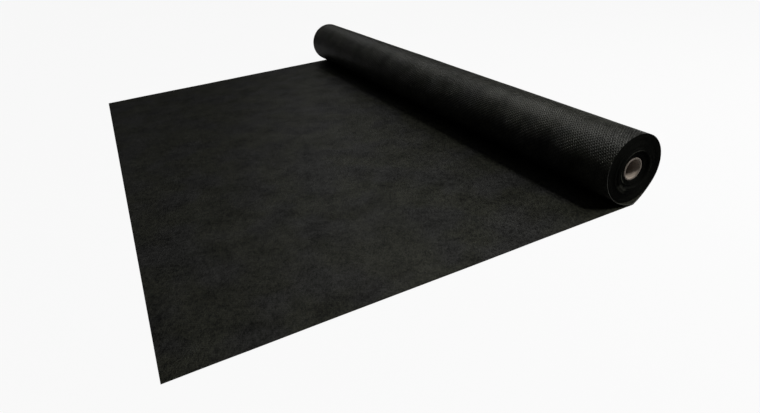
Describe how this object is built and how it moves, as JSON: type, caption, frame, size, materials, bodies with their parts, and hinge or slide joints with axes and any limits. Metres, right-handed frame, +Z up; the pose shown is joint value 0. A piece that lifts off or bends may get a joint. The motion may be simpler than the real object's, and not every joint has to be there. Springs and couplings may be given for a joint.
{
  "type": "roll of weed control sheet",
  "caption": "Roll of black non-woven weed control sheet on a cardboard core, its end laid out flat; the roll turns as it travels over the sheet.",
  "frame": {"origin": "on the ground, under the middle of the box around the laid sheet and the roll", "axes": "+X along the laid sheet from its free end to the roll, +Y across the web along the roll's axis, +Z up"},
  "size_m": [0.6248, 1.003, 0.0936],
  "materials": {
    "fabric_laid": "matt black spunbond non-woven, point bonded, laid flat",
    "fabric_outer_turn": "matt black spunbond non-woven, point bonded, drawn round the roll",
    "fabric_wound": "cut edges of many turns of black non-woven",
    "paper_tape": "cream paper tape",
    "cardboard": "grey-brown spiral wound cardboard"
  },
  "bodies": {
    "ground_sheet": {"laid_sheet": "fabric_laid"},
    "travelling_turn": {"outer_turn": "fabric_outer_turn"},
    "roll": {"wound_turns": "fabric_wound", "start_tape": "paper_tape", "core_tube": "cardboard"}
  },
  "joints": [
    {"name": "roll_travel", "type": "slide", "parent": "ground_sheet", "child": "travelling_turn", "axis": [-1, 0, 0], "range_m": [0, 0.56], "deforming": ["laid_sheet"]},
    {"name": "roll_spin", "type": "hinge", "parent": "travelling_turn", "child": "roll", "pos_m": [0.26561, 0, 0.047], "axis": [0, -1, 0], "range_deg": [0, 684]}
  ],
  "couplings": [
    {"joint": "roll_spin", "follows": "roll_travel", "rad_per_m": 21.277}
  ]
}
